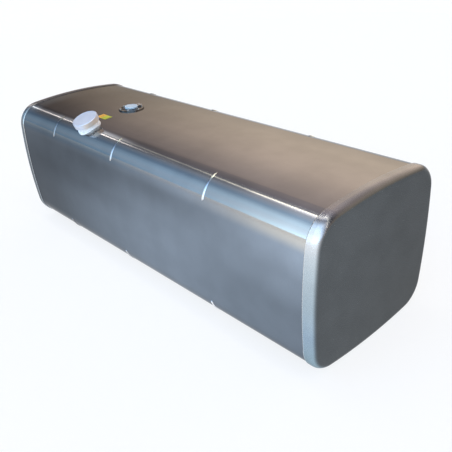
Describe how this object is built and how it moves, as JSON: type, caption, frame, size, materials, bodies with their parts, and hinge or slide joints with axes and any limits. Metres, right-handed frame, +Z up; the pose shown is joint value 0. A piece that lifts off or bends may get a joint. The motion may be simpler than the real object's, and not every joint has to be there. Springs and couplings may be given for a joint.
{
  "type": "truck fuel tank",
  "caption": "Long crowned rectangular aluminium fuel tank with pressed end heads, inner surge baffles, a tilted filler neck with bayonet cap and a top level sender.",
  "frame": {"origin": "under the middle of the tank, on the surface that it rests on", "axes": "+X along the tank, away from the filler; -Y towards the filler side; +Z up"},
  "size_m": [1.94, 0.67, 0.6559],
  "materials": {
    "shell_sheet": "bright rolled sheet, fine lengthwise grain",
    "head_sheet": "pressed sheet, satin",
    "weld": "bright weld bead",
    "neck": "machined, satin",
    "cap": "pressed, satin anodised",
    "zinc": "zinc plated",
    "spring_steel": "blued",
    "seal": "matt",
    "sender_plastic": "moulded, fine grain",
    "lid_plastic": "smooth",
    "float_foam": "closed foam",
    "copper": "soft annealed",
    "patch": "coloured foil"
  },
  "bodies": {
    "tank": {"shell": "shell_sheet", "end_head_near": "head_sheet", "end_head_far": "head_sheet", "seam_weld_near": "weld", "seam_weld_far": "weld", "long_seam_weld": "weld", "baffle_welds": "weld", "baffle_1": "head_sheet", "baffle_2": "head_sheet", "baffle_3": "head_sheet", "filler_neck": "neck", "filler_weld": "weld", "sender_pad": "neck", "sender_weld": "weld", "sender_gasket": "seal", "sender_clamp_ring": "neck", "sender_screws": "zinc", "sender_head": "sender_plastic", "sender_lid": "lid_plastic", "suction_nipple": "zinc", "return_nipple": "zinc", "suction_pipe": "zinc", "suction_strainer": "zinc", "return_pipe": "zinc", "level_stem": "zinc", "float_stop": "zinc", "drain_boss": "neck", "drain_washer": "copper", "drain_plug": "zinc", "blank_patch": "patch"},
    "cap_seat": {"cap_seal": "seal", "cap_seal_plate": "zinc"},
    "cap": {"cap_cover": "cap", "cap_spindle": "zinc", "cap_lug_plate": "zinc", "cap_spring": "spring_steel"},
    "float": {"level_float": "float_foam"}
  },
  "joints": [
    {"name": "cap_lift", "type": "slide", "parent": "tank", "child": "cap_seat", "axis": [0, -0.342, 0.9397], "range_m": [0, 0.08]},
    {"name": "cap_turn", "type": "hinge", "parent": "cap_seat", "child": "cap", "pos_m": [-0.387, -0.25873, 0.62452], "axis": [0, -0.342, 0.9397], "range_deg": [-70, 0]},
    {"name": "float_slide", "type": "slide", "parent": "tank", "child": "float", "axis": [0, 0, 1], "range_m": [0, 0.47]}
  ]
}
